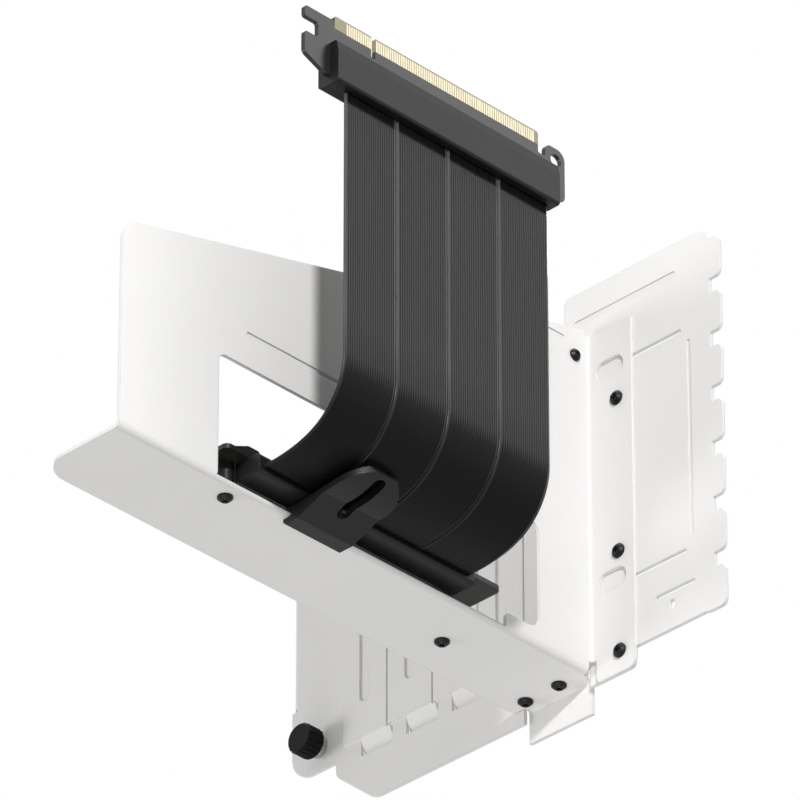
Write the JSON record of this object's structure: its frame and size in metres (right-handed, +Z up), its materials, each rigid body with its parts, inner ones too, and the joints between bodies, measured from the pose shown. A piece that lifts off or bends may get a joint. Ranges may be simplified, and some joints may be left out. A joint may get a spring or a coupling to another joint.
{
  "type": "vertical graphics card mount",
  "caption": "Folded sheet steel mount that replaces the slot covers at the back of a computer case and holds a graphics card upright, with a riser slot and a flat ribbon cable.",
  "frame": {"origin": "centre of the row of case screw holes, in the middle of the fold at the free side of the rear plate, on the fold's outer face", "axes": "+X from the screw fold towards the motherboard, +Y out through the rear wall of the case, +Z up"},
  "size_m": [0.1909, 0.2202, 0.166],
  "materials": {
    "white_steel": "white powder coat",
    "black_screw": "black zinc",
    "zinc_steel": "zinc plate",
    "circuit_board": "black solder mask",
    "black_moulding": "moulded",
    "gold_contact": "gold flash",
    "ribbon_jacket": "satin jacket",
    "knob_plastic": "moulded"
  },
  "bodies": {
    "mount": {"rear_plate": "white_steel", "riser_tray": "white_steel", "slot_cover_1": "white_steel", "slot_cover_2": "white_steel", "slot_cover_3": "white_steel", "slot_cover_4": "white_steel", "slot_cover_5": "white_steel", "cover_screws": "black_screw", "flange_screws": "black_screw", "shield_screw": "black_screw", "tray_end_screws": "black_screw", "board_bolts": "black_screw", "clinch_nuts": "zinc_steel", "board_nuts": "zinc_steel", "slot_board": "circuit_board", "plug_board": "circuit_board", "board_spacers": "black_moulding", "slot_housing": "black_moulding", "ribbon_clamp": "black_moulding", "plug_cover_front": "black_moulding", "plug_cover_back": "black_moulding", "cable_saddle": "black_moulding", "slot_contacts": "gold_contact", "plug_contacts": "gold_contact", "ribbon_inner_1": "ribbon_jacket", "ribbon_inner_2": "ribbon_jacket", "ribbon_inner_3": "ribbon_jacket", "ribbon_inner_4": "ribbon_jacket", "ribbon_outer_1": "ribbon_jacket", "ribbon_outer_2": "ribbon_jacket", "ribbon_outer_3": "ribbon_jacket", "ribbon_outer_4": "ribbon_jacket"},
    "thumbscrew": {"thumbscrew_knob": "knob_plastic", "thumbscrew_stud": "zinc_steel", "thumbscrew_ring": "zinc_steel"},
    "latch": {"slot_latch": "black_moulding"}
  },
  "joints": [
    {"name": "thumbscrew_turn", "type": "hinge", "parent": "mount", "child": "thumbscrew", "pos_m": [0.0124, -0.008, -0.05788], "axis": [0, 1, 0], "continuous": true},
    {"name": "latch_swing", "type": "hinge", "parent": "mount", "child": "latch", "pos_m": [0.1216, -0.1486, -0.06428], "axis": [1, 0, 0], "range_deg": [0, 30]}
  ]
}
